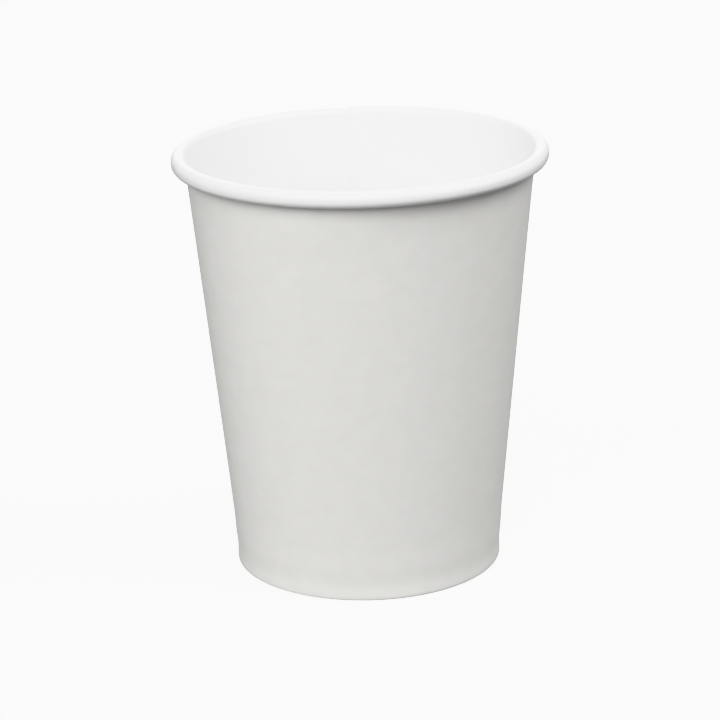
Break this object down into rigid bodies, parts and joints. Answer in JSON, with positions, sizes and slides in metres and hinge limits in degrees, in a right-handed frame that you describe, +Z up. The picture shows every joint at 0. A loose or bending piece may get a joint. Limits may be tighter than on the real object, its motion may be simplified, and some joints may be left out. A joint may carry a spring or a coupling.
{
  "type": "paper coffee cup",
  "caption": "Plain single-wall paper coffee cup with a rolled rim, a lapped side seam and a recessed bottom disc gripped by a folded foot.",
  "frame": {"origin": "middle of the ring that the cup stands on, on the table", "axes": "+Z up along the cup's axis, from the foot to the rim; +Y towards the side seam at the back; +X to the right of someone facing +Y"},
  "size_m": [0.08, 0.08, 0.092],
  "materials": {
    "wall_board": "uncoated matt outside, coated satin inside",
    "disc_board": "coated satin"
  },
  "bodies": {
    "root": {"side_wall": "wall_board", "bottom_disc": "disc_board"}
  },
  "joints": []
}
